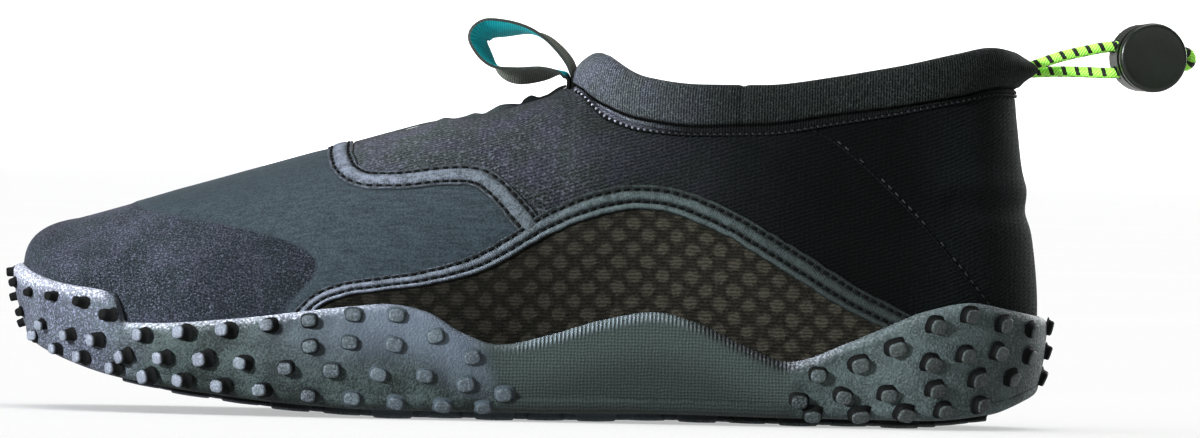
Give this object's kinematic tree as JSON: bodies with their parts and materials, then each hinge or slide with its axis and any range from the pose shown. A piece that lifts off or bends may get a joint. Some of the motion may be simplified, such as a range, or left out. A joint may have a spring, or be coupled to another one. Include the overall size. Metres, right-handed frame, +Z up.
{
  "type": "neoprene water shoe",
  "caption": "Low neoprene water shoe for the left foot: hollow upper in a studded rubber cup sole, padded collar, ribbon pull loop, and an elastic drawcord with a round cord lock at the heel.",
  "frame": {"origin": "middle of the shoe's footprint on the floor, without the drawcord that trails behind the heel", "axes": "+X from toe to heel, +Y towards the inner side of the foot, +Z up"},
  "size_m": [0.3203, 0.1034, 0.1106],
  "materials": {
    "rubber": "moulded grey-green rubber, satin",
    "foam": "cloth-covered foam, matt",
    "neoprene": "jersey-faced neoprene with smooth film patches",
    "band": "folded jersey-faced neoprene",
    "ribbon": "woven ribbon, grey outside and teal inside",
    "elastic": "braided elastic cord, lime with dark flecks",
    "lock_plastic": "moulded plastic, satin"
  },
  "bodies": {
    "shoe": {"outsole": "rubber", "insole": "foam", "upper": "neoprene", "collar_band": "band", "pull_loop": "ribbon", "cord_upper": "elastic", "cord_lower": "elastic", "cord_end": "elastic", "cord_lock_body": "lock_plastic"},
    "lock_button": {"cord_lock_button": "lock_plastic"}
  },
  "joints": [
    {"name": "button_press", "type": "slide", "parent": "shoe", "child": "lock_button", "axis": [-0.225, 0.9744, 0], "range_m": [0, 0.0022], "stiffness_N_per_m": 400, "springref_m": -0.004}
  ]
}
